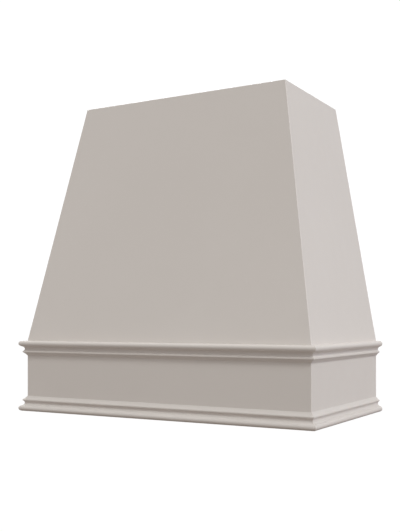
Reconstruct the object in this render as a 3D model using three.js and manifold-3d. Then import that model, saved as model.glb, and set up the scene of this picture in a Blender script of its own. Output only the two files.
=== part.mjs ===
// A painted wooden cover for a kitchen range hood, in millimetres with +Z up.
//
// A straight apron carries a body whose front and two sides all lean in by the same amount, and one
// moulding profile trims the apron's top and, turned over, its bottom. The wall side is open: three
// rails carry the screws into the wall, a ring of boards at the bottom takes the extractor insert,
// and a second ring at the top leaves room for the duct.
//
// Almost every piece is a section swept along one of three runs: the right side, the front and the
// left side. A section is drawn as (out, up): out is 0 on the apron's outer face and negative
// inside, and up is the height. Because the three walls lean alike, one rule cuts every corner at
// 45 degrees, on the apron, the leaning panels and the mouldings: a point ends where its own out
// says.

import * as THREE from "three";
import { mergeVertices } from "three/addons/utils/BufferGeometryUtils.js";
import Module from "manifold-3d";

const wasm = await Module();
wasm.setup();

// ---------- driving dimensions ----------

const INCH = 25.4;
const WIDTH = 36 * INCH; // across the apron's outer faces
const DEPTH = 19.75 * INCH; // from the wall to the apron's front face
const HEIGHT = 36 * INCH;
const WAIST = 8.25 * INCH; // the apron's top, where the walls start to lean
const INSET = 5 * INCH; // how far each wall has come in at the top
const MOULDING_HEIGHT = 1.75 * INCH;
const MOULDING_OUT = 0.75 * INCH; // how far the mouldings stand out from the apron

const BOARD = 18; // thickness of every plywood board
const GLUE = 0.3; // room for glue between two pieces that touch
const BATTEN = 22; // thickness of the solid battens behind the waist joint
const BATTEN_REACH = 35; // how far they go above and below the waist
const BATTEN_SHORT = 30; // what side battens and ledgers leave free in front of the wall rails
const CORNER_STRIP = 28; // legs of the triangular strips glued into the front corners

const CUTOUT_WIDTH = 28.5 * INCH; // for the body of a 30 inch class insert
const CUTOUT_DEPTH = 14.375 * INCH;
const LINER_RECESS = 1.5 * INCH; // the ring for the insert lies this far above the apron's foot
const LEDGER_HEIGHT = 38;

const RAIL_HEIGHT = 3.5 * INCH; // the three boards across the wall side
const TOP_RING_DROP = 3; // the top ring lies this far below the walls' top edges
const TOP_RING_WIDTH = 70;

const POCKET_ANGLE = THREE.MathUtils.degToRad(15);
const POCKET_RADIUS = 4.8;
const POCKET_REACH = 45; // how far the pocket drill is drawn back out of the board
const SCREW = { length: 32, shank: 1.9, head: 4.4, washer: 1.2, crown: 3.5, headHeight: 2.6, point: 7 };
const SCREW_SEAT = 19.7; // along the screw, from its head to the end of the rail
const SCREW_LEVELS = [22, 60]; // above a rail's lower edge
const LATHE_STEPS = 16;

// ---------- what follows from them ----------

const LEAN = INSET / (HEIGHT - WAIST); // how far a wall comes in for each millimetre of height
const LEANING_BOARD = BOARD * Math.hypot(1, LEAN); // level thickness of a leaning board
const MITRE = GLUE * Math.SQRT1_2; // what each piece leaves free at a mitred corner
const INNER = BOARD + GLUE; // where a piece inside the apron starts
const LINER_TOP = LINER_RECESS + BOARD;
const TOP_RING_TOP = HEIGHT - TOP_RING_DROP;

/** How far inside the apron's outer face a wall's inner face is, at a height. */
function innerFace(level) {
  return level <= WAIST ? BOARD : LEANING_BOARD + (level - WAIST) * LEAN;
}

// ---------- materials ----------

const paint = new THREE.MeshStandardMaterial({ color: 0xc3bab3, roughness: 0.42, metalness: 0 });
const plywood = new THREE.MeshStandardMaterial({ color: 0xd6bd94, roughness: 0.7, metalness: 0 });
const poplar = new THREE.MeshStandardMaterial({ color: 0xcdb98c, roughness: 0.65, metalness: 0 });
const zinc = new THREE.MeshStandardMaterial({ color: 0xb5b0a2, roughness: 0.35, metalness: 0.9 });

// ---------- the three runs and what is swept along them ----------

// How an end is cut: its distance from the run's end, and 1 if it is mitred there.
const corner = { setback: MITRE, mitre: 1 };
const wall = { setback: 0, mitre: 0 };
const square = (setback) => ({ setback, mitre: 0 });

// Each run starts at a corner of the plan and goes clockwise, seen from above.
const RUNS = {
  right: { turn: 0, from: [WIDTH / 2, 0], length: DEPTH, start: wall, end: corner },
  front: { turn: -Math.PI / 2, from: [WIDTH / 2, -DEPTH], length: WIDTH, start: corner, end: corner },
  left: { turn: Math.PI, from: [-WIDTH / 2, -DEPTH], length: DEPTH, start: corner, end: wall },
};

const hood = new THREE.Group();
const sides = {};
for (const [name, run] of Object.entries(RUNS)) {
  sides[name] = new THREE.Group();
  sides[name].position.set(run.from[0], run.from[1], 0);
  sides[name].rotation.z = run.turn;
  hood.add(sides[name]);
}

function addMesh(parent, name, geometry, material) {
  const mesh = new THREE.Mesh(geometry, material);
  mesh.name = name;
  parent.add(mesh);
  return mesh;
}

/** Sweeps a section of (out, up) along a run, each end cut as asked. */
function sweep(name, side, shape, material, ends = {}) {
  const run = RUNS[side];
  const { start = run.start, end = run.end } = ends;
  const geometry = new THREE.ExtrudeGeometry(shape, { depth: run.length, bevelEnabled: false });
  const points = geometry.getAttribute("position");
  for (let i = 0; i < points.count; i++) {
    const out = points.getX(i);
    const atStart = points.getZ(i) < run.length / 2;
    const place = atStart
      ? start.setback - start.mitre * out
      : run.length - end.setback + end.mitre * out;
    points.setZ(i, place);
  }
  const mesh = addMesh(sides[side], name, geometry, material);
  mesh.rotation.x = Math.PI / 2; // (out, up, along) becomes (out, -along, up)
  return mesh;
}

function polygon(...points) {
  return new THREE.Shape(points.map(([x, y]) => new THREE.Vector2(x, y)));
}

// ---------- the shell ----------

function apronBoard(side) {
  const top = WAIST - GLUE;
  const section = polygon([0, 0], [0, top], [-BOARD, top], [-BOARD, 0]);
  return sweep(`apron_${side}`, side, section, paint);
}

function leaningPanel(side) {
  const section = polygon(
    [0, WAIST],
    [-INSET, HEIGHT],
    [-INSET - LEANING_BOARD, HEIGHT],
    [-LEANING_BOARD, WAIST],
  );
  return sweep(`${side}_panel`, side, section, paint);
}

// ---------- the mouldings ----------

/**
 * The moulding's outline: a slope, a fillet, a cove and a bull nose, in (out, up) from its thin end.
 * The sizes are in inches, as moulding cutters are.
 */
const PROFILE = {
  slope: { out: 0.38, up: 0.4, sagitta: 0.03 },
  fillet: { out: 0.41, up: 0.53, rounded: 0.047 },
  cove: { out: 0.52, up: 0.8 }, // the centre of its arc, which starts at the fillet's top edge
  nose: { radius: 0.32 },
};

const SLOPE_STEPS = 4;
const FILLET_STEPS = 3;
const COVE_STEPS = 12;
const NOSE_STEPS = 18;

/** Points of an arc about a centre, both ends included. */
function arc(centreX, centreY, radius, from, to, steps) {
  const points = [];
  for (let i = 0; i <= steps; i++) {
    const angle = from + ((to - from) * i) / steps;
    points.push([centreX + radius * Math.cos(angle), centreY + radius * Math.sin(angle)]);
  }
  return points;
}

/** Points of a hollow arc from (0, 0) to (x, y), which bends away from its chord by the sagitta. */
function hollow(x, y, sagitta, steps) {
  const chord = Math.hypot(x, y);
  const radius = (chord * chord) / (8 * sagitta) + sagitta / 2;
  const half = Math.asin(chord / (2 * radius));
  const heading = Math.atan2(y, x) - Math.PI / 2; // from the chord's middle to the centre
  const centreX = x / 2 + (radius - sagitta) * Math.cos(heading);
  const centreY = y / 2 + (radius - sagitta) * Math.sin(heading);
  return arc(centreX, centreY, radius, heading + Math.PI + half, heading + Math.PI - half, steps);
}

/** The cove from the fillet's top edge, and the nose, joined by the line that touches both arcs. */
function coveAndNose() {
  const { fillet, cove, nose } = PROFILE;
  const noseX = MOULDING_OUT / INCH - nose.radius;
  const noseY = MOULDING_HEIGHT / INCH - nose.radius;
  const coveRadius = Math.hypot(fillet.out - cove.out, fillet.up - cove.up);
  const between = Math.hypot(noseX - cove.out, noseY - cove.up);
  const lean = Math.acos((coveRadius + nose.radius) / between);
  const leaves = Math.atan2(noseY - cove.up, noseX - cove.out) + lean;
  const starts = Math.atan2(fillet.up - cove.up, fillet.out - cove.out) + 2 * Math.PI;
  return [
    ...arc(cove.out, cove.up, coveRadius, starts, leaves, COVE_STEPS),
    ...arc(noseX, noseY, nose.radius, leaves - Math.PI, Math.PI / 2, NOSE_STEPS),
  ];
}

/** A corner rounded off between a point straight below it and the point that follows it. */
function roundedCorner([x, y], [nextX, nextY], reach, steps) {
  const share = reach / Math.hypot(nextX - x, nextY - y);
  const curve = new THREE.QuadraticBezierCurve(
    new THREE.Vector2(x, y - reach),
    new THREE.Vector2(x, y),
    new THREE.Vector2(x + (nextX - x) * share, y + (nextY - y) * share),
  );
  return curve.getPoints(steps).map((point) => [point.x, point.y]);
}

function mouldingOutline() {
  const { slope, fillet } = PROFILE;
  const [corner, ...rest] = coveAndNose();
  const points = [
    ...hollow(slope.out, slope.up, slope.sagitta, SLOPE_STEPS),
    [fillet.out, slope.up],
    ...roundedCorner(corner, rest[0], fillet.rounded, FILLET_STEPS),
    ...rest,
    [0, MOULDING_HEIGHT / INCH],
  ];
  return points.map(([out, up]) => [Math.max(out * INCH, GLUE), up * INCH]);
}

function upperMoulding(side) {
  const foot = WAIST - MOULDING_HEIGHT;
  const section = polygon(...mouldingOutline().map(([out, up]) => [out, foot + up]));
  return sweep(`upper_moulding_${side}`, side, section, paint);
}

function lowerMoulding(side) {
  const section = polygon(...mouldingOutline().map(([out, up]) => [out, MOULDING_HEIGHT - up]));
  return sweep(`lower_moulding_${side}`, side, section, paint);
}

// ---------- inside: battens, corner strips and the ring at the top ----------

/** The batten behind the waist joint: upright against the apron, leaning against the panel. */
function waistBatten(side) {
  const back = -innerFace(WAIST + GLUE) - GLUE;
  const section = polygon(
    [back, WAIST - BATTEN_REACH],
    [back, WAIST],
    [back - BATTEN_REACH * LEAN, WAIST + BATTEN_REACH],
    [back - BATTEN, WAIST + BATTEN_REACH],
    [back - BATTEN, WAIST - BATTEN_REACH],
  );
  const short = square(BOARD + BATTEN_SHORT);
  const ends = { right: { start: short }, front: {}, left: { end: short } };
  return sweep(`waist_batten_${side}`, side, section, poplar, ends[side]);
}

/** A flat board of the top ring, with its outer edge bevelled to the leaning panel. */
function topRingBoard(side) {
  const low = TOP_RING_TOP - BOARD;
  const outerLow = -innerFace(low) - GLUE;
  const outerHigh = -innerFace(TOP_RING_TOP) - GLUE;
  const inner = outerHigh - TOP_RING_WIDTH;
  const section = polygon([outerLow, low], [outerHigh, TOP_RING_TOP], [inner, TOP_RING_TOP], [inner, low]);
  const butt = square(INNER);
  const ends = { right: { start: butt }, front: {}, left: { end: butt } };
  return sweep(`top_ring_${side}`, side, section, plywood, ends[side]);
}

/** A triangular strip glued into a front corner; above the waist it leans both ways at once. */
function cornerStrip(name, hand, low, high) {
  const lean = low < WAIST ? 0 : LEAN;
  const legs = polygon([0, 0], [-hand * CORNER_STRIP, 0], [0, CORNER_STRIP]);
  const geometry = new THREE.ExtrudeGeometry(legs, { depth: high - low, bevelEnabled: false });
  geometry.applyMatrix4(new THREE.Matrix4().makeShear(0, 0, 0, 0, -hand * lean, lean));
  const strip = addMesh(hood, name, geometry, poplar);
  const inside = innerFace(low) + GLUE;
  strip.position.set(hand * (WIDTH / 2 - inside), inside - DEPTH, low);
  return strip;
}

// ---------- inside: the ring that takes the insert ----------

/** A plain board with its lowest corner at a point. */
function board(name, corner, size, material) {
  const mesh = addMesh(hood, name, new THREE.BoxGeometry(...size), material);
  mesh.position.set(...corner.map((value, axis) => value + size[axis] / 2));
  return mesh;
}

function linerRing() {
  const outerWidth = WIDTH - 2 * INNER;
  const outerDepth = DEPTH - INNER;
  const railDepth = (outerDepth - CUTOUT_DEPTH) / 2;
  const stileWidth = (outerWidth - CUTOUT_WIDTH) / 2;
  const stileDepth = CUTOUT_DEPTH - 2 * GLUE;
  const railSize = [outerWidth, railDepth, BOARD];
  const stileSize = [stileWidth, stileDepth, BOARD];
  const stileFront = railDepth + GLUE - outerDepth;
  board("liner_ring_front", [-outerWidth / 2, -outerDepth, LINER_RECESS], railSize, plywood);
  board("liner_ring_back", [-outerWidth / 2, -railDepth, LINER_RECESS], railSize, plywood);
  board("liner_ring_left", [-outerWidth / 2, stileFront, LINER_RECESS], stileSize, plywood);
  board("liner_ring_right", [CUTOUT_WIDTH / 2, stileFront, LINER_RECESS], stileSize, plywood);
}

/** The strip above the ring, which the ring's boards are screwed up into. */
function linerLedger(side) {
  const low = LINER_TOP + GLUE;
  const high = low + LEDGER_HEIGHT;
  const section = polygon([-INNER, low], [-INNER, high], [-INNER - BOARD, high], [-INNER - BOARD, low]);
  const butt = square(INNER + BOARD + GLUE);
  const short = square(BOARD + BATTEN_SHORT);
  const ends = {
    right: { start: short, end: butt },
    front: { start: square(INNER), end: square(INNER) },
    left: { start: butt, end: short },
  };
  return sweep(`liner_ledger_${side}`, side, section, poplar, ends[side]);
}

// ---------- the wall side: three rails and their pocket screws ----------

function halfRail(level) {
  return WIDTH / 2 - innerFace(level) - GLUE;
}

function wallRail(name, low) {
  const high = low + RAIL_HEIGHT;
  const outline = polygon(
    [-halfRail(low), low],
    [halfRail(low), low],
    [halfRail(high), high],
    [-halfRail(high), high],
  );
  const geometry = new THREE.ExtrudeGeometry(outline, { depth: BOARD, bevelEnabled: false });
  const rail = addMesh(hood, name, geometry, plywood);
  rail.rotation.x = Math.PI / 2;
  return rail;
}

/** A pan-head screw along +Y: the underside of its head is at 0 and its point at its length. */
function screwGeometry() {
  const { length, shank, head, washer, crown, headHeight, point } = SCREW;
  const outline = [
    [0, -headHeight],
    [crown, -headHeight],
    [crown, -washer],
    [head, -washer],
    [head, 0],
    [shank, 0],
    [shank, length - point],
    [0, length],
  ];
  return latheAround(outline);
}

/** What the stepped pocket drill takes away around such a screw. */
function drillGeometry() {
  const { length, shank, point } = SCREW;
  const outline = [
    [0, -POCKET_REACH],
    [POCKET_RADIUS, -POCKET_REACH],
    [POCKET_RADIUS, GLUE],
    [shank + GLUE, GLUE],
    [shank + GLUE, length - point],
    [GLUE, length + GLUE],
    [0, length + GLUE],
  ];
  return latheAround(outline);
}

function latheAround(outline) {
  const points = outline.map(([radius, along]) => new THREE.Vector2(radius, along));
  return new THREE.LatheGeometry(points, LATHE_STEPS);
}

/** Screws for both ends of a rail, and the holes they need in the rail and in the walls. */
function pocketScrews(rail, low, leftWall, rightWall) {
  for (const [hand, side, into] of [[-1, "left", leftWall], [1, "right", rightWall]]) {
    SCREW_LEVELS.forEach((above, i) => {
      const level = low + above;
      const way = new THREE.Vector3(hand * Math.cos(POCKET_ANGLE), Math.sin(POCKET_ANGLE), 0);
      const screw = addMesh(hood, `${rail.name}_screw_${side}_${i + 1}`, screwGeometry(), zinc);
      screw.quaternion.setFromUnitVectors(new THREE.Vector3(0, 1, 0), way);
      screw.position.set(hand * halfRail(level), -BOARD / 2, level).addScaledVector(way, -SCREW_SEAT);
      const drill = new THREE.Mesh(drillGeometry());
      drill.quaternion.copy(screw.quaternion);
      drill.position.copy(screw.position);
      cutAway(rail, drill);
      cutAway(into, drill);
    });
  }
}

// ---------- cutting one solid from another ----------

/** The closed solid of a geometry, moved by a matrix. */
function solidOf(geometry, matrix) {
  const bare = new THREE.BufferGeometry();
  bare.setAttribute("position", geometry.getAttribute("position").clone());
  if (geometry.index) bare.setIndex(geometry.index.clone());
  bare.applyMatrix4(matrix);
  const merged = mergeVertices(bare, 1e-4);
  return new wasm.Manifold(
    new wasm.Mesh({
      numProp: 3,
      vertProperties: merged.getAttribute("position").array,
      triVerts: new Uint32Array(merged.index.array),
    }),
  );
}

/** Takes the tool's space, given in the hood's frame, out of a mesh. */
function cutAway(mesh, tool) {
  hood.updateMatrixWorld(true);
  tool.updateMatrixWorld(true);
  const toMesh = mesh.matrixWorld.clone().invert().multiply(tool.matrixWorld);
  const left = solidOf(mesh.geometry, new THREE.Matrix4())
    .subtract(solidOf(tool.geometry, toMesh))
    .getMesh();
  mesh.geometry = new THREE.BufferGeometry()
    .setAttribute("position", new THREE.BufferAttribute(left.vertProperties, 3))
    .setIndex(new THREE.BufferAttribute(left.triVerts, 1));
  mesh.geometry.computeVertexNormals();
}

// ---------- the object ----------

const apron = {};
const panel = {};
for (const side of Object.keys(RUNS)) {
  apron[side] = apronBoard(side);
  panel[side] = leaningPanel(side);
  upperMoulding(side);
  lowerMoulding(side);
  waistBatten(side);
  topRingBoard(side);
  linerLedger(side);
}
linerRing();

for (const [side, hand] of [["left", -1], ["right", 1]]) {
  const overLedger = LINER_TOP + 2 * GLUE + LEDGER_HEIGHT;
  cornerStrip(`apron_corner_block_${side}`, hand, overLedger, WAIST - BATTEN_REACH - GLUE);
  const underRing = TOP_RING_TOP - BOARD - GLUE;
  cornerStrip(`corner_strip_${side}`, hand, WAIST + BATTEN_REACH + GLUE, underRing);
}

const hangingLow = TOP_RING_TOP - RAIL_HEIGHT;
const waistLow = WAIST + GLUE;
const lowerLow = LINER_TOP + GLUE;
pocketScrews(wallRail("hanging_rail", hangingLow), hangingLow, panel.left, panel.right);
pocketScrews(wallRail("waist_rail", waistLow), waistLow, panel.left, panel.right);
pocketScrews(wallRail("lower_rail", lowerLow), lowerLow, apron.left, apron.right);

// The origin is the middle of the footprint, so the wall side stands half the whole depth behind it.
hood.position.y = (DEPTH + MOULDING_OUT) / 2;

export default hood;
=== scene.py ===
"""The looks of a painted wooden range hood cover, built round its CAD frame.

Metres, +Z up. The wall side is +Y and the front faces -Y. The painted shell and its mouldings are
remade with closed mitres, eased edges and finer curves. The bare boards and battens inside are
copies of the CAD shapes with eased edges and the ring's screw holes. The pocket screws get their
recesses and threads here, and the ring's screws, the staples and the squeezed-out glue are added.
"""

import random
from dataclasses import dataclass
from math import acos, asin, atan2, cos, hypot, pi, radians, sin, tan

import bmesh
import bpy
from mathutils import Matrix, Vector

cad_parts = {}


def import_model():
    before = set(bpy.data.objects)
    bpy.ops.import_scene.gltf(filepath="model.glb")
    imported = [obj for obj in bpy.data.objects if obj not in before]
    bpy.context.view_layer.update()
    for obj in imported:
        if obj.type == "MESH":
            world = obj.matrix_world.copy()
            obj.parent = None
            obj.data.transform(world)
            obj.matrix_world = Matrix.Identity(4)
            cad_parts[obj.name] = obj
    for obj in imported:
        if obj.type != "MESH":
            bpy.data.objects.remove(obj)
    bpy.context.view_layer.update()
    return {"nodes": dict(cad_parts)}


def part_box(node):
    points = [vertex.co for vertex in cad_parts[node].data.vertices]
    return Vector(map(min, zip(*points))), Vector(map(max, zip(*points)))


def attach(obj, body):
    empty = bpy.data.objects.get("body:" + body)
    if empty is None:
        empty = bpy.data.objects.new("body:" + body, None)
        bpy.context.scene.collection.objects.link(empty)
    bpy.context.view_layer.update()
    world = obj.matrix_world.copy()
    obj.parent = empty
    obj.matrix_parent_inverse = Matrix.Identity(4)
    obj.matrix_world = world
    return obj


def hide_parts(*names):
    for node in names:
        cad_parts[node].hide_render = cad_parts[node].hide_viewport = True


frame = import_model()

# ---------- sizes, read from the frame ----------

MM = 0.001
INCH = 0.0254
X, Y, Z = 0, 1, 2
UP = Vector((0, 0, 1))


def low(node, axis):
    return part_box(node)[0][axis]


def high(node, axis):
    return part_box(node)[1][axis]


def middle(node, axis):
    return (low(node, axis) + high(node, axis)) / 2


def vertices(node):
    return [vertex.co for vertex in frame["nodes"][node].data.vertices]


WALL = high("hanging_rail", Y)
FRONT = low("apron_front", Y)
HALF_WIDTH = high("apron_right", X)
WIDTH = 2 * HALF_WIDTH
DEPTH = WALL - FRONT
HEIGHT = high("front_panel", Z)
WAIST = low("front_panel", Z)
BOARD = high("apron_front", Y) - FRONT
TOP_FRONT = min(point.y for point in vertices("front_panel") if point.z > HEIGHT - MM)
INSET = TOP_FRONT - FRONT  # how far each wall has come in at the top
LEAN = INSET / (HEIGHT - WAIST)
LEANING_BOARD = BOARD * hypot(1, LEAN)  # level thickness of a leaning board
GLUE = 0.3 * MM  # the gap that the CAD leaves between glued pieces
POCKET_ANGLE = radians(15)  # of the pocket screws to the rails' faces
CORNER_STRIP = 28 * MM  # legs of the triangular strips in the front corners

RAILS = ("hanging_rail", "waist_rail", "lower_rail")
STRIPS = ("corner_strip", "apron_corner_block")
HANDS = (("left", -1), ("right", 1))

CLOSED = 0.02 * MM  # the gap that a glued and painted joint still shows
CORNER_RADIUS = 1.2 * MM  # eased front corners of body and apron
EDGE_RADIUS = 1.0 * MM  # eased edges of the boards
MOULDING_EASE = 0.35 * MM  # paint rounds the moulding's crisp corners by this much


@dataclass
class Run:
    """One of the three walls in plan: where it starts, its direction and its outward side."""

    start: Vector
    along: Vector
    out: Vector
    length: float
    mitred: tuple

    @property
    def axis(self):
        """The axis that the wall runs along."""
        return X if self.along.x else Y

    @property
    def inward(self):
        return -self.out.to_3d()

    def point(self, along, out, level):
        x, y = self.start + self.along * along + self.out * out
        return Vector((x, y, level))


RUNS = {
    "right": Run(Vector((HALF_WIDTH, WALL)), Vector((0, -1)), Vector((1, 0)), DEPTH, (False, True)),
    "front": Run(Vector((HALF_WIDTH, FRONT)), Vector((-1, 0)), Vector((0, -1)), WIDTH, (True, True)),
    "left": Run(Vector((-HALF_WIDTH, FRONT)), Vector((0, 1)), Vector((-1, 0)), DEPTH, (True, False)),
}


def inner_face(level):
    """How far inside the apron's outer face a wall's inner face is, at a height."""
    return BOARD if level <= WAIST else LEANING_BOARD + (level - WAIST) * LEAN


# ---------- materials ----------


class Shader:
    """A material and its node tree. Inputs are plain values or other nodes' sockets."""

    def __init__(self, name):
        self.material = bpy.data.materials.new(name)
        self.material.use_nodes = True
        self.tree = self.material.node_tree
        self.surface = self.tree.nodes["Principled BSDF"]

    def feed(self, socket, value):
        if isinstance(value, bpy.types.NodeSocket):
            self.tree.links.new(value, socket)
        else:
            socket.default_value = value

    def set(self, socket, value):
        self.feed(self.surface.inputs[socket], value)

    def add(self, kind, inputs=None, **settings):
        node = self.tree.nodes.new(kind)
        for key, value in settings.items():
            setattr(node, key, value)
        for key, value in (inputs or {}).items():
            self.feed(node.inputs[key], value)
        return node

    def place(self, scale=(1, 1, 1), shift=(0, 0, 0)):
        """The point on the object in metres, stretched and moved."""
        inputs = {0: self.add("ShaderNodeTexCoord").outputs["Object"], 1: scale, 2: shift}
        return self.add("ShaderNodeVectorMath", inputs, operation="MULTIPLY_ADD").outputs[0]

    def part(self, vector, axis):
        return self.add("ShaderNodeSeparateXYZ", {0: vector}).outputs[axis]

    def noise(self, vector, scale, detail=2.0, roughness=0.5):
        """Noise from 0 to 1, with `scale` cells for each unit of the vector."""
        inputs = {"Vector": vector, "Scale": scale, "Detail": detail, "Roughness": roughness}
        return self.add("ShaderNodeTexNoise", inputs).outputs["Fac"]

    def math(self, operation, a, b=0.0):
        return self.add("ShaderNodeMath", {0: a, 1: b}, operation=operation).outputs[0]

    def between(self, value, span, to=(0.0, 1.0)):
        """The value carried smoothly from one range into another, and held at the ends."""
        inputs = {"Value": value, "From Min": span[0], "From Max": span[1]}
        inputs.update({"To Min": to[0], "To Max": to[1]})
        return self.add("ShaderNodeMapRange", inputs, interpolation_type="SMOOTHSTEP").outputs[0]

    def mix(self, factor, a, b):
        return self.add("ShaderNodeMix", {0: factor, 6: a, 7: b}, data_type="RGBA").outputs[2]

    def bump(self, height, depth, strength):
        bump = self.add("ShaderNodeBump", {"Height": height, "Distance": depth, "Strength": strength})
        self.set("Normal", bump.outputs["Normal"])


PAINT = (0.640, 0.585, 0.545, 1)
PAINT_DEEP = (0.628, 0.573, 0.533, 1)
BIRCH = (0.72, 0.56, 0.37, 1)
BIRCH_WARM = (0.67, 0.49, 0.30, 1)
BIRCH_DARK = (0.50, 0.33, 0.18, 1)
PLY_END_GRAIN = (0.40, 0.26, 0.14, 1)
PLY_GLUE_LINE = (0.16, 0.09, 0.05, 1)
POPLAR = (0.66, 0.57, 0.37, 1)
POPLAR_HEART = (0.49, 0.45, 0.28, 1)
POPLAR_DARK = (0.36, 0.29, 0.15, 1)
ZINC_YELLOW = (0.62, 0.56, 0.42, 1)
ZINC_GREY = (0.50, 0.47, 0.43, 1)
GLUE_AMBER = (0.62, 0.44, 0.18, 1)
GLUE_CREAM = (0.78, 0.66, 0.42, 1)

# the roughness of each finish, from its smoothest spots to its roughest
PAINT_ROUGHNESS = (0.40, 0.46)
PLYWOOD_ROUGHNESS = (0.55, 0.72)
SHELL_ROUGHNESS = (0.52, 0.70)
PLY_EDGE_ROUGHNESS = (0.6, 0.8)
POPLAR_ROUGHNESS = (0.5, 0.68)
ZINC_ROUGHNESS = (0.26, 0.42)
GLUE_ROUGHNESS = (0.22, 0.40)

MOST_NOISE = (0.3, 0.7)  # where most of a noise's values lie
ALL_NOISE = (0.2, 0.8)  # where nearly all of them lie

BOARD_SHIFT = (3.1, 1.7, 2.3)  # noise cells from one board's wood to the next
RING_SHARPNESS = 2.5  # the power that makes a growth ring end sharply
BIRCH_BANDS = 24.0  # bands of figure, were the noise to go from 0 to 1
BIRCH_FIGURE = 0.34  # how strong they are
POPLAR_RING = 4.2 * MM  # a year's growth
POPLAR_TILT = (0.62, 0.86, 0.78)  # which way the rings face, apart from the grain's axis
POPLAR_SHIFT = (13 * MM, 7 * MM, 11 * MM)  # from one strip's rings to the next
POPLAR_WAVER = 9.0  # how many rings the grain's drift may bend them by
POPLAR_FIGURE = 0.38
POPLAR_END = 0.35  # how dark its end grain is between the rings
POPLAR_END_RINGS = 0.4  # and how much the rings add
FACING = 0.7  # a face belongs to an axis when its normal has more than this along it
PLY = 1.4 * MM  # thickness of one ply
PLY_WOBBLE = 0.35 * MM
PLY_RELIEF = 0.6  # how much lower the crossed plies lie, as a share of the speckle's height
GLUE_IN_PLY = (0.44, 0.49)  # plies from a ply's middle, over which its glue line darkens
OVERSPRAY = (12 * MM, 40 * MM)  # heights between which the overspray inside fades
CREPT = (2.0 * MM, 4.5 * MM)  # depths between which the paint on a rear edge ends


def paint():
    """Sprayed satin paint, a little uneven in tone, sheen and surface."""
    shade = Shader("sprayed_paint")
    drift = shade.noise(shade.place(), scale=2.3, detail=3.0)
    peel = shade.noise(shade.place(), scale=420.0, detail=1.5)
    sheen = shade.noise(shade.place(), scale=24.0)
    shade.set("Base Color", shade.mix(shade.between(drift, MOST_NOISE), PAINT_DEEP, PAINT))
    shade.set("Roughness", shade.between(sheen, MOST_NOISE, PAINT_ROUGHNESS))
    shade.bump(peel, depth=0.05 * MM, strength=0.35)
    return shade.material


def grained(grain_axis, across, along):
    """A scale for each axis: one value along the grain and another across it."""
    return tuple(along if axis == grain_axis else across for axis in (X, Y, Z))


def wood_noise(shade, grain_axis, seed, across, along, detail=2.0, roughness=0.5):
    """Noise with `across` cells in a metre across the grain and `along` cells along it."""
    shift = tuple(step * seed for step in BOARD_SHIFT)
    vector = shade.place(grained(grain_axis, across, along), shift)
    return shade.noise(vector, 1.0, detail, roughness)


def growth_rings(shade, field):
    """Bands that darken slowly and end sharply, one for each whole step of the field."""
    return shade.math("POWER", shade.math("FRACT", field), RING_SHARPNESS)


def facing(shade, axis):
    """1 where the surface faces along an axis, else 0."""
    share = shade.part(shade.add("ShaderNodeTexCoord").outputs["Normal"], axis)
    return shade.math("GREATER_THAN", shade.math("ABSOLUTE", share), FACING)


def ragged(shade, distance, scale, reach):
    """A distance made uneven by noise, by up to `reach`."""
    noise = shade.noise(shade.place(), scale, detail=4.0)
    return shade.math("ADD", distance, shade.math("MULTIPLY", noise, reach))


def veneer(shade, grain_axis, seed):
    """Colour and height of rotary-cut birch: wide flamed figure and fine short pores."""
    flame = wood_noise(shade, grain_axis, seed, across=5.0, along=0.55, roughness=0.4)
    blush = wood_noise(shade, grain_axis, seed, across=7.0, along=1.3, detail=1.0)
    pores = wood_noise(shade, grain_axis, seed, across=620.0, along=16.0, roughness=0.6)
    rings = growth_rings(shade, shade.math("MULTIPLY", flame, BIRCH_BANDS))
    base = shade.mix(shade.between(blush, span=(0.35, 0.65)), BIRCH, BIRCH_WARM)
    figured = shade.mix(shade.math("MULTIPLY", rings, BIRCH_FIGURE), base, BIRCH_DARK)
    specks = shade.between(pores, span=(0.52, 0.80), to=(0.0, 0.35))
    return shade.mix(specks, figured, BIRCH_DARK), pores


def sawn_poplar(shade, grain_axis, seed):
    """Colour and height of planed poplar: straight rings, streaks of green heart, dark end grain."""
    tilt = tuple(0.0 if axis == grain_axis else POPLAR_TILT[axis] for axis in (X, Y, Z))
    point = shade.place(shift=tuple(step * seed for step in POPLAR_SHIFT))
    product = shade.add("ShaderNodeVectorMath", {0: point, 1: tilt}, operation="DOT_PRODUCT")
    drift = wood_noise(shade, grain_axis, seed, across=16.0, along=1.1)
    heart = wood_noise(shade, grain_axis, seed, across=22.0, along=0.9)
    pores = wood_noise(shade, grain_axis, seed, across=800.0, along=22.0, roughness=0.6)
    straight = shade.math("DIVIDE", product.outputs["Value"], POPLAR_RING)
    field = shade.math("ADD", straight, shade.math("MULTIPLY", drift, POPLAR_WAVER))
    rings = growth_rings(shade, field)
    base = shade.mix(shade.between(heart, span=(0.50, 0.66), to=(0.0, 0.75)), POPLAR, POPLAR_HEART)
    figured = shade.mix(shade.math("MULTIPLY", rings, POPLAR_FIGURE), base, POPLAR_DARK)
    specks = shade.between(pores, span=(0.50, 0.80), to=(0.0, 0.30))
    long_grain = shade.mix(specks, figured, POPLAR_DARK)
    darkness = shade.math("ADD", shade.math("MULTIPLY", rings, POPLAR_END_RINGS), POPLAR_END)
    end_grain = shade.mix(darkness, base, POPLAR_DARK)
    return shade.mix(facing(shade, grain_axis), long_grain, end_grain), pores


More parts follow.
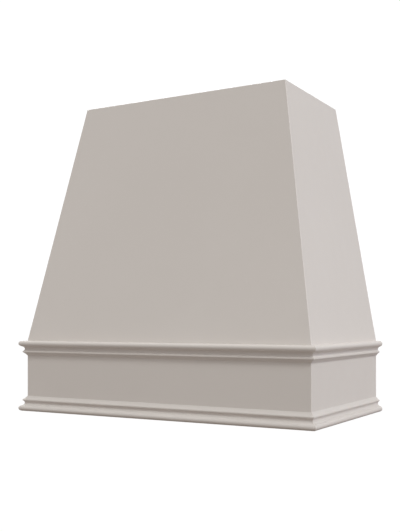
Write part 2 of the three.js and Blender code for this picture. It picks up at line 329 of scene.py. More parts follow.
def ply_stripes(shade, depth):
    """Colour and height of a plywood edge, from the depth below the board's face."""
    sway = shade.math("SUBTRACT", shade.noise(shade.place(), scale=60.0), 0.5)
    wobbly = shade.math("ADD", depth, shade.math("MULTIPLY", sway, PLY_WOBBLE))
    count = shade.math("DIVIDE", wobbly, PLY)
    crossed = shade.math("GREATER_THAN", shade.math("MODULO", shade.math("FLOOR", count), 2.0), 0.5)
    from_middle = shade.math("ABSOLUTE", shade.math("SUBTRACT", shade.math("FRACT", count), 0.5))
    speckle = shade.noise(shade.place(), scale=900.0, detail=3.0)
    stripe = shade.mix(crossed, BIRCH, shade.mix(speckle, PLY_END_GRAIN, BIRCH_DARK))
    glued = shade.between(from_middle, GLUE_IN_PLY, to=(0.0, 0.75))
    height = shade.math("SUBTRACT", speckle, shade.math("MULTIPLY", crossed, PLY_RELIEF))
    return shade.mix(glued, stripe, PLY_GLUE_LINE), height


def plywood(node, thickness_axis, grain_axis, seed):
    """Birch plywood for a board square to the axes: grain on its faces, plies on its edges."""
    shade = Shader(f"plywood_{node}")
    face, pores = veneer(shade, grain_axis, seed)
    place = shade.part(shade.place(), thickness_axis)
    edge, height = ply_stripes(shade, shade.math("SUBTRACT", place, low(node, thickness_axis)))
    on_face = facing(shade, thickness_axis)
    shade.set("Base Color", shade.mix(on_face, edge, face))
    shade.set("Roughness", shade.between(pores, ALL_NOISE, PLYWOOD_ROUGHNESS))
    shade.bump(shade.mix(on_face, height, pores), depth=0.12 * MM, strength=0.5)
    return shade.material


def shell_inside(wall_name, grain_axis, seed):
    """The bare inner face of a painted board, with overspray along its lower edge."""
    shade = Shader(f"bare_inside_{wall_name}")
    face, pores = veneer(shade, grain_axis, seed)
    level = ragged(shade, shade.part(shade.place(), Z), scale=35.0, reach=22 * MM)
    mist = shade.between(level, OVERSPRAY, to=(0.95, 0.0))
    shade.set("Base Color", shade.mix(mist, face, PAINT))
    shade.set("Roughness", shade.between(pores, ALL_NOISE, SHELL_ROUGHNESS))
    shade.bump(pores, depth=0.10 * MM, strength=0.5)
    return shade.material


def shell_edge():
    """The bare rear edge of a painted board: plies, with paint that has crept round from the face."""
    shade = Shader("bare_edge")
    depth = shade.part(shade.add("ShaderNodeUVMap", uv_map="depth").outputs[0], Y)
    colour, height = ply_stripes(shade, depth)
    crept = shade.between(ragged(shade, depth, scale=120.0, reach=3.2 * MM), CREPT, to=(1.0, 0.0))
    shade.set("Base Color", shade.mix(crept, colour, PAINT))
    shade.set("Roughness", shade.between(height, span=(-0.5, 1.0), to=PLY_EDGE_ROUGHNESS))
    shade.bump(height, depth=0.15 * MM, strength=0.5)
    return shade.material


def poplar(node, grain_axis, seed):
    """Bare poplar for a strip whose grain runs along an axis."""
    shade = Shader(f"poplar_{node}")
    colour, pores = sawn_poplar(shade, grain_axis, seed)
    shade.set("Base Color", colour)
    shade.set("Roughness", shade.between(pores, ALL_NOISE, POPLAR_ROUGHNESS))
    shade.bump(pores, depth=0.10 * MM, strength=0.5)
    return shade.material


def zinc():
    """Yellowish zinc plating with faint stains."""
    shade = Shader("zinc_plate")
    stain = shade.noise(shade.place(), scale=260.0, detail=3.0)
    greyed = shade.between(stain, span=(0.35, 0.7))
    shade.set("Base Color", shade.mix(greyed, ZINC_YELLOW, ZINC_GREY))
    shade.set("Metallic", 1.0)
    shade.set("Roughness", shade.between(stain, MOST_NOISE, ZINC_ROUGHNESS))
    return shade.material


def dried_glue():
    """Hard yellow wood glue."""
    shade = Shader("dried_glue")
    cloud = shade.noise(shade.place(), scale=180.0, detail=3.0)
    shade.set("Base Color", shade.mix(cloud, GLUE_AMBER, GLUE_CREAM))
    shade.set("Roughness", shade.between(cloud, MOST_NOISE, GLUE_ROUGHNESS))
    shade.bump(cloud, depth=0.15 * MM, strength=0.4)
    return shade.material


PAINT_MATERIAL = paint()
EDGE_MATERIAL = shell_edge()
STEEL_MATERIAL = zinc()
GLUE_MATERIAL = dried_glue()

# ---------- building pieces ----------

SHARP_FROM = radians(35)
EASE_FROM = radians(25)
EASE_STEPS = 3
LARGEST_TURN = 2.2  # radians; a sharper corner is rounded off no further back
LARGEST_SHARE = 0.45  # of a side's length, which rounding a corner may take


def new_object(name, data):
    thing = bpy.data.objects.new(name, data)
    bpy.context.scene.collection.objects.link(thing)
    return thing


def mesh_data(name, mesh):
    """A bmesh turned into an object's mesh. It uses the bmesh up."""
    data = bpy.data.meshes.new(name)
    mesh.to_mesh(data)
    mesh.free()
    return data


def mark_sharp(mesh):
    for edge in mesh.edges:
        edge.smooth = edge.calc_face_angle(pi) < SHARP_FROM
    for face in mesh.faces:
        face.smooth = True


def make_piece(name, mesh, materials, slot, *nodes):
    """Turns a bmesh into a piece that rides on the object and stands for the CAD nodes named."""
    bmesh.ops.recalc_face_normals(mesh, faces=mesh.faces)
    mark_sharp(mesh)
    data = mesh_data(name, mesh)
    for material in materials:
        data.materials.append(material)
    piece = new_object(name, data)
    piece.modifiers.new("flats_stay_flat", "WEIGHTED_NORMAL").keep_sharp = True
    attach(piece, "root")
    if nodes:
        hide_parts(*nodes)


def skin(mesh, rings):
    """Adds a closed body through rings of points, and gives its rows of vertices and its sides."""
    rows = [[mesh.verts.new(point) for point in ring] for ring in rings]
    sides = []
    for row, following in zip(rows, rows[1:]):
        corners = zip(row, row[1:] + row[:1], following[1:] + following[:1], following)
        sides += [mesh.faces.new(four) for four in corners]
    mesh.faces.new(rows[0][::-1])
    mesh.faces.new(rows[-1])
    return rows, sides


def join(bodies):
    """One mesh with a closed body for each list of rings."""
    mesh = bmesh.new()
    for rings in bodies:
        skin(mesh, rings)
    return mesh


def loft(rings, paints, depths):
    """A closed body; paints gives the material of each side of a ring, depths each point's depth."""
    mesh = bmesh.new()
    depth_layer = mesh.loops.layers.uv.new("depth")
    rows, sides = skin(mesh, rings)
    for k, face in enumerate(sides):
        face.material_index = paints[k % len(paints)]
    of_vertex = {vertex: depth for row in rows for vertex, depth in zip(row, depths)}
    for face in mesh.faces:
        for corner in face.loops:
            corner[depth_layer].uv = (corner.vert.co.z, of_vertex[corner.vert])
    return mesh


def quarter_turn(steps):
    """Angles from 0 to a right angle, both included."""
    return [pi / 2 * k / steps for k in range(steps + 1)]


def arc(x, y, radius, start, end, steps):
    """Points of an arc about (x, y), both ends included."""
    angles = [start + (end - start) * i / steps for i in range(steps + 1)]
    return [Vector((x + radius * cos(a), y + radius * sin(a))) for a in angles]


def rounded(before, corner, after, radius):
    """The points that round a corner off, as far as its two sides are long enough."""
    back = before - corner
    on = after - corner
    turn = min(pi - back.angle(on), LARGEST_TURN)
    reach = min(radius * tan(turn / 2), LARGEST_SHARE * back.length, LARGEST_SHARE * on.length)
    first = corner + back.normalized() * reach
    last = corner + on.normalized() * reach
    shares = [k / EASE_STEPS for k in range(EASE_STEPS + 1)]
    return [first * (1 - t) ** 2 + corner * (2 * t * (1 - t)) + last * t**2 for t in shares]


def eased(outline, radius):
    """The closed outline with its sharp corners rounded."""
    points = []
    for i, here in enumerate(outline):
        before = outline[i - 1]
        after = outline[(i + 1) % len(outline)]
        turn = pi - (before - here).angle(after - here)
        points += [here] if turn < EASE_FROM else rounded(before, here, after, radius)
    return points


# ---------- the shell: apron boards and leaning panels ----------

CORNER_STEPS = 5
EDGE_STEPS = 4
PAINTED, INSIDE, EDGE = 0, 1, 2  # the order of a wall's materials
PANEL_WOOD, APRON_WOOD = 1, 5  # seeds of the wood's figure inside


def outer_corner(mitred, outer, radius):
    """(along, out) from the end face round to the outer face, for the start of a run."""
    if not mitred:
        return arc(radius, outer - radius, radius, pi, pi / 2, EDGE_STEPS)
    return arc(CLOSED + radius - outer, outer - radius, radius, 3 * pi / 4, pi / 2, CORNER_STEPS)


def wall_plan(run, outer, thickness, radius):
    """A wall's level section as (along, out), its outer face at `outer`."""
    inner = outer - thickness
    ends = []
    for mitred in run.mitred:
        end_radius = radius if mitred else EDGE_RADIUS
        corner = outer_corner(mitred, outer, end_radius)
        inside = Vector((CLOSED - inner if mitred else 0.0, inner))
        ends.append([inside] + corner)
    start, end = ends
    return start + [Vector((run.length - p.x, p.y)) for p in reversed(end)]


def wall(node, side, levels, inside_material):
    """A board through (level, outer, thickness, corner radius) rows."""
    run = RUNS[side]
    plans = [wall_plan(run, *section) for _, *section in levels]
    rings = [[run.point(p.x, p.y, level) for p in plan] for (level, *_), plan in zip(levels, plans)]
    depths = [levels[0][1] - p.y for p in plans[0]]
    paints = [PAINTED] * len(depths)
    paints[0] = paints[-2] = EDGE
    paints[-1] = INSIDE
    materials = [PAINT_MATERIAL, inside_material, EDGE_MATERIAL]
    make_piece(f"{node}_board", loft(rings, paints, depths), materials, "painted", node)


def apron_levels():
    """The bottom edge is eased outside; the top is hidden behind the moulding."""
    levels = []
    for angle in quarter_turn(EDGE_STEPS):
        level = EDGE_RADIUS * (1 - cos(angle))
        inset = EDGE_RADIUS * (1 - sin(angle))
        levels.append((level, -inset, BOARD - inset, CORNER_RADIUS - inset))
    levels.append((high("apron_front", Z), 0.0, BOARD, CORNER_RADIUS))
    return levels


def panel_levels():
    """A leaning panel rises from the waist, and its top edge is eased outside."""
    levels = [(WAIST, 0.0, LEANING_BOARD, CORNER_RADIUS)]
    for angle in quarter_turn(EDGE_STEPS):
        level = HEIGHT - EDGE_RADIUS * (1 - sin(angle))
        inset = EDGE_RADIUS * (1 - cos(angle))
        outer = -(level - WAIST) * LEAN
        levels.append((level, outer - inset, LEANING_BOARD - inset, CORNER_RADIUS - inset))
    return levels


def shell():
    for k, (side, run) in enumerate(RUNS.items()):
        inside = shell_inside(side, Z, PANEL_WOOD + k)
        low_inside = shell_inside(f"apron_{side}", run.axis, APRON_WOOD + k)
        wall(f"{side}_panel", side, panel_levels(), inside)
        wall(f"apron_{side}", side, apron_levels(), low_inside)


# ---------- the mouldings ----------

MOULDING_HEIGHT = 1.75 * INCH
MOULDING_OUT = 0.75 * INCH
SLOPE_OUT = 0.38 * INCH
SLOPE_UP = 0.40 * INCH
SLOPE_SAGITTA = 0.03 * INCH
FILLET_OUT = 0.41 * INCH
FILLET_TOP = 0.53 * INCH
FILLET_ROUND = 0.07 * INCH
COVE_CENTRE = Vector((0.52, 0.80)) * INCH
NOSE_RADIUS = 0.32 * INCH
COVE_STEPS = 14
NOSE_STEPS = 24


def slope():
    """The faintly hollow underside, from the thin end at (0, 0) to the fillet."""
    chord = hypot(SLOPE_OUT, SLOPE_UP)
    radius = chord**2 / (8 * SLOPE_SAGITTA) + SLOPE_SAGITTA / 2
    half = asin(chord / (2 * radius))
    heading = atan2(SLOPE_UP, SLOPE_OUT) - pi / 2
    reach = radius - SLOPE_SAGITTA
    x = SLOPE_OUT / 2 + reach * cos(heading)
    y = SLOPE_UP / 2 + reach * sin(heading)
    return arc(x, y, radius, heading + pi + half, heading + pi - half, COVE_STEPS)


def moulding_outline():
    """(out, up) round the moulding: slope, fillet, cove and nose, then down the back."""
    nose = Vector((MOULDING_OUT - NOSE_RADIUS, MOULDING_HEIGHT - NOSE_RADIUS))
    from_fillet = Vector((FILLET_OUT, FILLET_TOP)) - COVE_CENTRE
    cove_radius = from_fillet.length
    # The cove runs into the nose along the straight line that touches both circles.
    between = nose - COVE_CENTRE
    leaves = atan2(between.y, between.x) + acos((cove_radius + NOSE_RADIUS) / between.length)
    starts = atan2(from_fillet.y, from_fillet.x) + 2 * pi
    cove = arc(*COVE_CENTRE, cove_radius, starts, leaves, COVE_STEPS)
    outline = slope()
    outline.append(Vector((FILLET_OUT, SLOPE_UP)))
    outline += rounded(outline[-1], *cove[:2], FILLET_ROUND) + cove[1:]
    outline += arc(*nose, NOSE_RADIUS, leaves - pi, pi / 2, NOSE_STEPS)
    outline = eased(outline, MOULDING_EASE)[1:]
    outline = [Vector((CLOSED, 0.0))] + outline + [Vector((CLOSED, MOULDING_HEIGHT))]
    return [Vector((max(p.x, CLOSED), p.y)) for p in outline]


def moulding(node, side, level_of):
    """One length of moulding: mitred where two walls meet, sawn square at the wall."""
    run = RUNS[side]
    outline = moulding_outline()
    rings = []
    for mitred, far in zip(run.mitred, (False, True)):
        ring = []
        for p in outline:
            along = CLOSED - p.x if mitred else 0.0
            ring.append(run.point(run.length - along if far else along, p.x, level_of(p.y)))
        rings.append(ring)
    make_piece(f"{node}_length", join([rings]), [PAINT_MATERIAL], "painted", node)


def mouldings():
    """The upper one stands right way up under the waist, and the lower one is turned over."""
    foot = WAIST - MOULDING_HEIGHT
    for side in RUNS:
        moulding(f"upper_moulding_{side}", side, lambda up: foot + up)
        moulding(f"lower_moulding_{side}", side, lambda up: MOULDING_HEIGHT - up)


# ---------- screws ----------

AROUND = 24
THREAD_PITCH = 1.8 * MM
ROWS_PER_TURN = 6
SCREW_LENGTH = 32 * MM
SCREW_POINT = 7 * MM
TIP = 0.12  # the point's end, as a share of the full radius
THREAD_FROM = 9 * MM  # below the head, where the smooth shank ends
THREAD_RADIUS = 1.9 * MM
THREAD_FLANK = 0.28  # from a thread's crest to its root, as a share of the pitch
CORE_RADIUS = 1.25 * MM
SHANK_RADIUS = 1.5 * MM
DRIVE_HALF = 1.35 * MM  # half the width of the square drive recess
DRIVE_DEPTH = 1.9 * MM
DRIVE_TAPER = 0.9  # the recess's width at its bottom, as a share of that at its top

# (radius, along) of each head, from the flat round the recess to the shank, in millimetres
PAN = ((2.7, -2.6), (3.2, -2.5), (3.45, -2.3), (3.5, -2.0), (3.5, -1.2))
WASHER = ((4.2, -1.15), (4.4, -0.95), (4.4, -0.2), (4.2, 0))
FLAT_HEAD = ((3.3, 0.3), (3.75, 0.4), (3.8, 0.7), (1.6, 3.3))
# and of the drill and countersink for a ring screw
RING_DRILL = ((4.9, -1), (4.05, 0.05), (2.2, 2.6), (2.2, 25.3), (0.3, 32.6))

RING_LOW = low("liner_ring_front", Z)
RING_SIDES = ("front", "back", "left", "right")
ACROSS = [x * MM for x in (-375, -225, -75, 75, 225, 375)]  # ring screws in front and at the back
BESIDE = [y * MM for y in (-110, 20, 150)]  # ring screws at the sides
NEAR_CORNER = -184 * MM  # and one in each front corner, through the front board


def around(radius, along):
    """A ring of points round the screw's axis."""
    turns = [2 * pi * k / AROUND for k in range(AROUND)]
    return [Vector((radius * cos(t), radius * sin(t), along)) for t in turns]


def square_ring(half, along):
    """The same number of points, round a square."""
    ring = []
    for point in around(1.0, along):
        scale = half / max(abs(point.x), abs(point.y))
        ring.append(Vector((point.x * scale, point.y * scale, along)))
    return ring


def threaded_ring(along):
    """A ring through the thread, whose crest winds round as it goes along."""
    slim = min(1.0, max(TIP, (SCREW_LENGTH - along) / SCREW_POINT))
    ring = []
    for k in range(AROUND):
        place = (along / THREAD_PITCH - k / AROUND) % 1
        crest = max(0.0, 1 - abs(place - 0.5) / THREAD_FLANK)
        radius = slim * (CORE_RADIUS + (THREAD_RADIUS - CORE_RADIUS) * crest)
        turn = 2 * pi * k / AROUND
        ring.append(Vector((radius * cos(turn), radius * sin(turn), along)))
    return ring


def screw_rings(head):
    """Rings from the bottom of the drive recess, over the head and down the thread to the point."""
    top = head[0][1] * MM
    rings = [square_ring(DRIVE_TAPER * DRIVE_HALF, top + DRIVE_DEPTH), square_ring(DRIVE_HALF, top)]
    rings += [around(radius * MM, along * MM) for radius, along in head]
    rings.append(around(SHANK_RADIUS, max(0.0, head[-1][1] * MM)))
    rings.append(around(SHANK_RADIUS, THREAD_FROM - THREAD_PITCH))
    step = THREAD_PITCH / ROWS_PER_TURN
    count = int((SCREW_LENGTH - THREAD_FROM) / step)
    rings += [threaded_ring(THREAD_FROM + k * step) for k in range(count + 1)]
    return rings


def along_way(way, place):
    """The matrix that takes +Z to a direction and the origin to a place."""
    return Matrix.Translation(place) @ UP.rotation_difference(way).to_matrix().to_4x4()


def moved(rings, matrix):
    return [[matrix @ point for point in ring] for ring in rings]


def steel_piece(name, bodies, *nodes):
    make_piece(name, join(bodies), [STEEL_MATERIAL], "zinc_steel", *nodes)


def pocket_screws():
    """Pan-head screws in the rails' pocket holes, each where its CAD node is."""
    for rail in RAILS:
        for side, hand in HANDS:
            way = Vector((hand * cos(POCKET_ANGLE), sin(POCKET_ANGLE), 0))
            for i in (1, 2):
                node = f"{rail}_screw_{side}_{i}"
                tip = max(vertices(node), key=way.dot)
                screw = moved(screw_rings(PAN + WASHER), along_way(way, tip - SCREW_LENGTH * way))
                steel_piece(f"{rail}_pocket_screw_{side}_{i}", [screw], node)


def ring_places(side):
    """Where the ring's screws enter its underside, in line with what they hold it to."""
    if side == "back":
        places = [(x, middle("lower_rail", Y)) for x in ACROSS]
    elif side == "front":
        places = [(x, middle("liner_ledger_front", Y)) for x in ACROSS]
        places += [(middle(f"liner_ledger_{end}", X), NEAR_CORNER) for end, _ in HANDS]
    else:
        places = [(middle(f"liner_ledger_{side}", X), y) for y in BESIDE]
    return [Vector((x, y, RING_LOW)) for x, y in places]


def at_places(rings, side):
    """A copy of a body for each of the ring's screws on one side."""
    return [moved(rings, Matrix.Translation(place)) for place in ring_places(side)]


def ring_holes(*sides):
    drill = [around(radius * MM, along * MM) for radius, along in RING_DRILL]
    return [hole for side in sides for hole in at_places(drill, side)]


def ring_screws():
    """Countersunk screws up through the insert's ring into the ledgers and the lower rail."""
    for side in RING_SIDES:
        steel_piece(f"liner_ring_screws_{side}", at_places(screw_rings(FLAT_HEAD), side))


# ---------- places inside the walls ----------


def extent(node, side):
    """How far along its run a node starts and ends, and the `out` of its inner face."""
    run = RUNS[side]
    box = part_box(node)
    corners = [Vector((box[i][X], box[j][Y])) - run.start for i in (0, 1) for j in (0, 1)]
    alongs = [corner.dot(run.along) for corner in corners]
    return min(alongs), max(alongs), min(corner.dot(run.out) for corner in corners)


def strip_corner(hand, level):
    """Where a corner strip's square edge is, at a height."""
    inside = inner_face(level) + GLUE
    return Vector((hand * (HALF_WIDTH - inside), FRONT + inside, level))


# ---------- staples ----------

STAPLE_WIDTH = 5.7 * MM
STAPLE_LEG = 32 * MM  # through a batten and well into the wall behind it
STAPLE_BEND = 0.9 * MM
BEND_STEPS = 4
STAPLE_WIRE = (0.62 * MM, 0.45 * MM)  # half its width and half its thickness
WIRE_TURNS = [pi / 4 * k + pi / 8 for k in range(8)]  # the corners of its section
STAPLE_PROUD = 0.25 * MM
STAPLE_EVERY = 130 * MM
STAPLE_MARGIN = 75 * MM
STAPLE_TWIST = 9  # degrees, the most that one is askew
STAPLE_STRAY = 6  # millimetres, the most that one is off its mark
STAPLE_ROWS = (("waist_batten", 19 * MM, 1), ("liner_ledger", 8 * MM, 11))  # node, zigzag and seed
STAPLED_AT = (0.08, 0.29, 0.50, 0.71, 0.92)  # shares of a corner strip's height
STRIP_STAPLE_SEED = 31


def staple_rings(place, out, along):
    """A staple driven in against `out`, its crown lying along `along`."""
    side = out.cross(along)
    half = STAPLE_WIDTH / 2 - STAPLE_BEND
    bends = quarter_turn(BEND_STEPS)
    left = [Vector((-half - STAPLE_BEND * sin(t), STAPLE_BEND * cos(t))) for t in reversed(bends)]
    right = [Vector((half + STAPLE_BEND * sin(t), STAPLE_BEND * cos(t))) for t in bends]
    path = [Vector((left[0].x, -STAPLE_LEG))] + left + right + [Vector((right[-1].x, -STAPLE_LEG))]
    crown = STAPLE_PROUD - STAPLE_WIRE[1] - STAPLE_BEND
    rings = []
    for i, here in enumerate(path):
        heading = (path[min(i + 1, len(path) - 1)] - path[max(i - 1, 0)]).normalized()
        across = Vector((-heading.y, heading.x))
        centre = place + along * here.x + out * (here.y + crown)
        thick = along * across.x + out * across.y
        wide, thin = side * STAPLE_WIRE[0], thick * STAPLE_WIRE[1]
        rings.append([centre + wide * cos(t) + thin * sin(t) for t in WIRE_TURNS])
    return rings


def stapled(name, places, seed):
    """Staples at (place, out, along), each a little askew as they are when driven by hand."""
    draw = random.Random(seed)
    bodies = []
    for place, out, along in places:
        twist = Matrix.Rotation(radians(draw.uniform(-STAPLE_TWIST, STAPLE_TWIST)), 3, out)
        stray = along * draw.uniform(-STAPLE_STRAY, STAPLE_STRAY) * MM
        bodies.append(staple_rings(place + stray, out, (twist @ along).normalized()))
    steel_piece(name, bodies)


def row_of_staples(node, side, levels):
    """Places along the inner face of a batten or ledger, in a zigzag between two heights."""
    run = RUNS[side]
    start, end, face = extent(node, side)
    count = round((end - start - 2 * STAPLE_MARGIN) / STAPLE_EVERY)
    step = (end - start - 2 * STAPLE_MARGIN) / count
    places = []
    for k in range(count + 1):
        place = run.point(start + STAPLE_MARGIN + step * k, face, levels[k % 2])
        places.append((place, run.inward, run.along.to_3d()))
    return places


def strip_staples(node, hand):
    """Places up the slanted face of a leaning corner strip."""
    across = Vector((hand, 1, 0)).normalized()
    out = Vector((-hand * LEAN, LEAN, 1)).cross(Vector((1, hand, 0))).normalized()
    levels = [low(node, Z) + share * (high(node, Z) - low(node, Z)) for share in STAPLED_AT]
    face = Vector((-hand, 1, 0)) * CORNER_STRIP / 2
    return [(strip_corner(hand, level) + face, out, across) for level in levels]


def staples():
    """Narrow staples in the battens, the ledgers and the leaning corner strips."""
    for k, side in enumerate(RUNS):
        for kind, zigzag, seed in STAPLE_ROWS:
            node = f"{kind}_{side}"
            levels = (middle(node, Z) - zigzag, middle(node, Z) + zigzag)
            stapled(f"staples_{node}", row_of_staples(node, side, levels), seed + k)
    for side, hand in HANDS:
        node = f"corner_strip_{side}"
        stapled(f"staples_{node}", strip_staples(node, hand), STRIP_STAPLE_SEED + hand)


# ---------- glue squeezed out of the joints inside ----------

BEAD_STEP = 4 * MM
BEAD_WIDTH = 1.5 * MM
FEWEST_STEPS = 4  # even on a short joint
WAVES = 3  # that a bead's width is made of
WAVE_LENGTH = (45, 160)  # shortest and longest, in millimetres
WAVE_SHARE = (0.25, 0.5)  # least and most of the swell
BEAD_MEAN = 0.42  # these three are shares of BEAD_WIDTH
BEAD_SWELL = 0.7
BEAD_JITTER = 0.06
THINNEST = 0.3 * MM  # a thinner bead is left out
SHORTEST = 3  # steps; so is a shorter one
END_STEP = 0.35  # of a step, by which a bead runs out past its last full width
END_WIDTH = 0.08 * MM
BULGE = 0.56  # how far a bead's face swells from the corner
SPREAD = 0.2  # and how far the two points across it stand apart
SUNK = 0.12 * MM  # how far the glue reaches into what it sticks to
BESIDE_STRIP = CORNER_STRIP + 2 * MM  # glue along a wall starts this far from its corner
BATTEN_GLUE_SEED, LEDGER_GLUE_SEED, RING_GLUE_SEED = 41, 51, 61
STRIP_GLUE_SEEDS = (71, 81)


def bead_widths(length, draw):
    """The bead's width at each step: it swells and shrinks, and stops where little was squeezed out."""
    waves = []
    for _ in range(WAVES):
        wave = draw.uniform(*WAVE_LENGTH) * MM
        phase = draw.uniform(0, 2 * pi)
        waves.append((wave, phase, draw.uniform(*WAVE_SHARE)))
    count = max(FEWEST_STEPS, int(length / BEAD_STEP))
    widths = []
    for k in range(count + 1):
        swell = sum(share * sin(2 * pi * k * BEAD_STEP / wave + phase) for wave, phase, share in waves)
        jitter = draw.uniform(-BEAD_JITTER, BEAD_JITTER)
        widths.append(BEAD_WIDTH * max(0.0, BEAD_MEAN + swell * BEAD_SWELL + jitter))
    return widths


def bead(start, end, floor_way, wall_way, draw):
    """Rings of the stretches of glue along a joint, in the corner between two surfaces."""
    run = end - start
    widths = bead_widths(run.length, draw)
    step = run / (len(widths) - 1)
    bodies = []
    stretch = []
    for k, width in enumerate(widths + [0.0]):
        if width > THINNEST:
            stretch.append((k, width))
            continue
        if len(stretch) >= SHORTEST:
            bodies.append(bead_rings(start, step, stretch, floor_way, wall_way))
        stretch = []
    return bodies


def bead_rings(start, step, stretch, floor_way, wall_way):
    """Rings round one stretch of glue, from its thin start to its thin end."""
    first, last = stretch[0][0], stretch[-1][0]
    sized = [(first - END_STEP, END_WIDTH)] + stretch + [(last + END_STEP, END_WIDTH)]
    middle_way = (floor_way + wall_way) * BULGE
    aside = (floor_way - wall_way) * SPREAD
    shape = (Vector(), floor_way, middle_way + aside, middle_way - aside, wall_way)
    rings = []
    for place, width in sized:
        corner = start + step * place - (floor_way + wall_way) * SUNK
        rings.append([corner + point * (width + SUNK) for point in shape])
    return rings


def glue(node, joints, seed):
    """The glue along some joints of one node: (start, end, and the two ways out of the corner)."""
    draw = random.Random(seed)
    bodies = [rings for joint in joints for rings in bead(*joint, draw)]
    make_piece(f"glue_{node}", join(bodies), [GLUE_MATERIAL], "poplar")


def glue_line(node, side, level, wall_way):
    """The joint along the outer edge of a piece inside, between the corner strips or to its end."""
    run = RUNS[side]
    start, end, _ = extent(node, side)
    inside = inner_face(level)
    if run.mitred[0]:
        start = inside + BESIDE_STRIP
    if run.mitred[1]:
        end = run.length - inside - BESIDE_STRIP
    return run.point(start, -inside, level), run.point(end, -inside, level), run.inward, wall_way


def strip_lines(node, hand):
    """The joints along a corner strip's two long edges."""
    across = Vector((hand, 1, 0)).normalized()
    levels = (low(node, Z) + MM, high(node, Z) - MM)
    in_front = [strip_corner(hand, z) + Vector((-hand * CORNER_STRIP, -GLUE, 0)) for z in levels]
    at_side = [strip_corner(hand, z) + Vector((hand * GLUE, CORNER_STRIP, 0)) for z in levels]
    return [(*in_front, across, Vector((-hand, 0, 0))), (*at_side, -across, Vector((0, 1, 0)))]


def glue_lines():
    """Glue squeezed out where battens, ledgers, strips and the top ring meet the walls."""
    for k, (side, run) in enumerate(RUNS.items()):
        leaning = (UP + LEAN * run.inward).normalized()
        batten, ledger, ring = f"waist_batten_{side}", f"liner_ledger_{side}", f"top_ring_{side}"
        over = glue_line(batten, side, high(batten, Z), leaning)
        under = glue_line(batten, side, low(batten, Z), -UP)
        glue(batten, [over, under], BATTEN_GLUE_SEED + k)
        glue(ledger, [glue_line(ledger, side, high(ledger, Z), UP)], LEDGER_GLUE_SEED + k)
        glue(ring, [glue_line(ring, side, low(ring, Z), -leaning)], RING_GLUE_SEED + k)
    for side, hand in HANDS:
        for seed, strip in zip(STRIP_GLUE_SEEDS, STRIPS):
            node = f"{strip}_{side}"
            glue(node, strip_lines(node, hand), seed + hand)


# ---------- bare wood inside ----------

EASE = 0.5 * MM
EASED_FROM = 50 * MM  # only edges this long are sanded; the rims of the pocket holes stay crisp
SANDED_FROM = radians(20)  # and only those that turn by more than this
SAME_POINT = 0.01 * MM
SAME_FACE = radians(0.5)
# seeds of the wood's figure, counted up from these on each kind of board
RAIL_WOOD, TOP_WOOD, RING_WOOD, BACK_RING_WOOD = 11, 21, 31, 35
BATTEN_WOOD, LEDGER_WOOD, STRIP_WOOD = 41, 51, 61


def carve(mesh, tools):
    """The mesh without the tools' space. It uses both meshes up."""
    block, tool = [new_object("carving", mesh_data("carving", part)) for part in (mesh, tools)]
    cut = block.modifiers.new("cut", "BOOLEAN")
    cut.operation = "DIFFERENCE"
    cut.solver = "EXACT"
    cut.object = tool
    carved = bmesh.new()
    carved.from_object(block, bpy.context.evaluated_depsgraph_get())
    for used in (block, tool):
        bpy.data.meshes.remove(used.data)
    return carved


def bare_piece(node, material, slot, holes=()):
    """A copy of a CAD board with its long edges eased and its screw holes drilled."""
    mesh = bmesh.new()
    mesh.from_mesh(frame["nodes"][node].data)
    bmesh.ops.remove_doubles(mesh, verts=mesh.verts, dist=SAME_POINT)
    bmesh.ops.dissolve_limit(mesh, angle_limit=SAME_FACE, verts=mesh.verts, edges=mesh.edges)
    edges = [e for e in mesh.edges if e.is_manifold and e.calc_length() > EASED_FROM]
    edges = [e for e in edges if e.calc_face_angle() > SANDED_FROM]
    bmesh.ops.bevel(
        mesh, geom=edges, offset=EASE, segments=2, profile=0.5, affect="EDGES", clamp_overlap=True
    )
    if holes:
        mesh = carve(mesh, join(holes))
    for face in mesh.faces:
        face.material_index = 0
    make_piece(f"{node}_wood", mesh, [material], slot, node)


def bare_wood():
    """Plywood rails and rings and poplar strips, each with a figure of its own."""
    for seed, rail in enumerate(RAILS, RAIL_WOOD):
        holes = ring_holes("back") if rail == "lower_rail" else ()
        bare_piece(rail, plywood(rail, Y, X, seed), "plywood", holes)
    for k, side in enumerate(("front", "left", "right")):
        grain = RUNS[side].axis
        top, ring = f"top_ring_{side}", f"liner_ring_{side}"
        batten, ledger = f"waist_batten_{side}", f"liner_ledger_{side}"
        bare_piece(top, plywood(top, Z, grain, TOP_WOOD + k), "plywood")
        bare_piece(ring, plywood(ring, Z, grain, RING_WOOD + k), "plywood", ring_holes(side))
        bare_piece(batten, poplar(batten, grain, BATTEN_WOOD + k), "poplar")
        bare_piece(ledger, poplar(ledger, grain, LEDGER_WOOD + k), "poplar", ring_holes("front", side))
    back = "liner_ring_back"
    bare_piece(back, plywood(back, Z, X, BACK_RING_WOOD), "plywood", ring_holes("back"))
    for seed, (side, _) in enumerate(HANDS, STRIP_WOOD):
        for strip in STRIPS:
            node = f"{strip}_{side}"
            bare_piece(node, poplar(node, Z, seed), "poplar")


# ---------- camera, light and floor ----------

PHOTO_HEIGHT = 532
FOCAL_PIXELS = 842.2
HORIZON_ROW = 319.8  # the camera is level, and its picture is shifted
CAMERA_TURN = radians(29.92)
CAMERA_PLACE = (1.2540, -2.1761, 0.2724)
NEAREST = 0.05
SENSOR = 36.0
SOFTNESS = radians(15)
AMBIENT = 0.40
NEUTRAL = (1, 1, 1)
KEY_TINT = (0.94, 1.0, 1.0)
SIDE_TINT = (0.70, 0.77, 1.0)
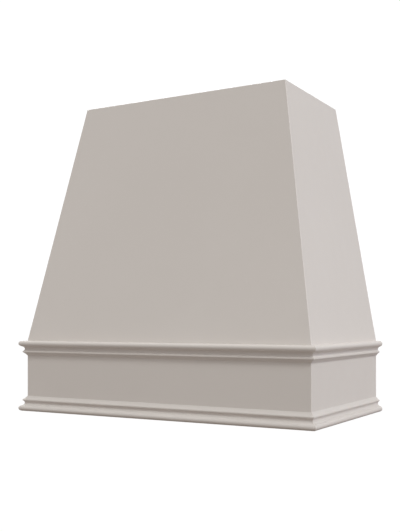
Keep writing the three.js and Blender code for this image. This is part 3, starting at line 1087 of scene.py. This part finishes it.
# name, elevation, azimuth (0 is the front and 90 the right side), strength and tint
SUNS = (
    ("key", 45, 60, 1.50, KEY_TINT),
    ("key_low", 30, 60, 0.50, NEUTRAL),
    ("overhead", 90, 0, 0.633, NEUTRAL),
    ("front_low", 15, -30, 0.115, NEUTRAL),
    ("side_low", 15, 90, 0.48, SIDE_TINT),
    ("back_fill", 40, 222, 1.1, NEUTRAL),
)
WHITE = 1.06  # of the surroundings as the camera sees them, past the picture's brightest
FLOOR_COLOUR = (0.2, 0.2, 0.2, 1)  # for the light that it throws back at the object
FLOOR_TINT = (1.0, 0.70, 0.51, 1)
FLOOR_GLOW = 0.128
FLOOR_ROUGHNESS = 0.8
FLOOR_WHITENESS = 0.93  # share of white in what the camera sees of it; the rest holds the shadow
FLOOR_RADIUS = 30.0
FLOOR_SIDES = 96
FLOOR_DROP = 0.1 * MM  # keeps the floor clear of the faces that stand on it


def camera():
    data = bpy.data.cameras.new("camera")
    data.sensor_fit = "VERTICAL"
    data.sensor_height = SENSOR
    data.lens = FOCAL_PIXELS / PHOTO_HEIGHT * SENSOR
    data.shift_y = (HORIZON_ROW - PHOTO_HEIGHT / 2) / PHOTO_HEIGHT
    data.clip_start = NEAREST
    view = new_object("camera", data)
    turned = Matrix.Rotation(CAMERA_TURN, 4, "Z") @ Matrix.Rotation(pi / 2, 4, "X")
    view.matrix_world = Matrix.Translation(CAMERA_PLACE) @ turned
    bpy.context.scene.camera = view


def studio():
    """Wide, soft lights from far away."""
    for name, elevation, azimuth, strength, tint in SUNS:
        data = bpy.data.lights.new(name, "SUN")
        data.energy = strength
        data.color = tint
        data.angle = SOFTNESS
        lamp = new_object(name, data)
        lamp.rotation_euler = (pi / 2 - radians(elevation), 0, radians(azimuth))


def blended(tree, share, first, second):
    """A mix of two shaders, by a share that another node gives."""
    blend = tree.nodes.new("ShaderNodeMixShader")
    tree.links.new(share, blend.inputs[0])
    tree.links.new(first, blend.inputs[1])
    tree.links.new(second, blend.inputs[2])
    return blend.outputs[0]


def seen_as_white(tree, lit, whiteness):
    """Blends a shader with plain white for what the camera sees of the surroundings."""
    white = tree.nodes.new("ShaderNodeEmission")
    white.inputs["Color"].default_value = (1, 1, 1, 1)
    white.inputs["Strength"].default_value = WHITE
    share = tree.nodes.new("ShaderNodeMath")
    share.operation = "MULTIPLY"
    share.inputs[1].default_value = whiteness
    tree.links.new(tree.nodes.new("ShaderNodeLightPath").outputs["Is Camera Ray"], share.inputs[0])
    return blended(tree, share.outputs[0], lit, white.outputs[0])


def world():
    """An even surround, which looks white behind the object."""
    surround = bpy.data.worlds.new("surround")
    surround.use_nodes = True
    bpy.context.scene.world = surround
    tree = surround.node_tree
    ambient = tree.nodes["Background"]
    ambient.inputs["Color"].default_value = (1, 1, 1, 1)
    ambient.inputs["Strength"].default_value = AMBIENT
    shown = seen_as_white(tree, ambient.outputs[0], 1.0)
    tree.links.new(shown, tree.nodes["World Output"].inputs["Surface"])


def floor():
    """A pale floor, bright enough to merge with the surround but for a faint shadow.

    It is clear from below, so that the object's underside can be looked at."""
    shade = Shader("floor")
    shade.set("Base Color", FLOOR_COLOUR)
    shade.set("Roughness", FLOOR_ROUGHNESS)
    shade.set("Emission Color", FLOOR_TINT)
    shade.set("Emission Strength", FLOOR_GLOW)
    shown = seen_as_white(shade.tree, shade.surface.outputs[0], FLOOR_WHITENESS)
    below = shade.add("ShaderNodeNewGeometry").outputs["Backfacing"]
    clear = shade.add("ShaderNodeBsdfTransparent").outputs[0]
    surface = blended(shade.tree, below, shown, clear)
    shade.tree.links.new(surface, shade.tree.nodes["Material Output"].inputs["Surface"])
    mesh = bmesh.new()
    bmesh.ops.create_circle(mesh, cap_ends=True, segments=FLOOR_SIDES, radius=FLOOR_RADIUS)
    data = mesh_data("floor", mesh)
    data.materials.append(shade.material)
    plane = new_object("floor", data)
    plane.location.z = -FLOOR_DROP


camera()
world()
studio()
floor()
shell()
mouldings()
bare_wood()
pocket_screws()
ring_screws()
staples()
glue_lines()

bpy.context.scene.view_settings.view_transform = "Standard"
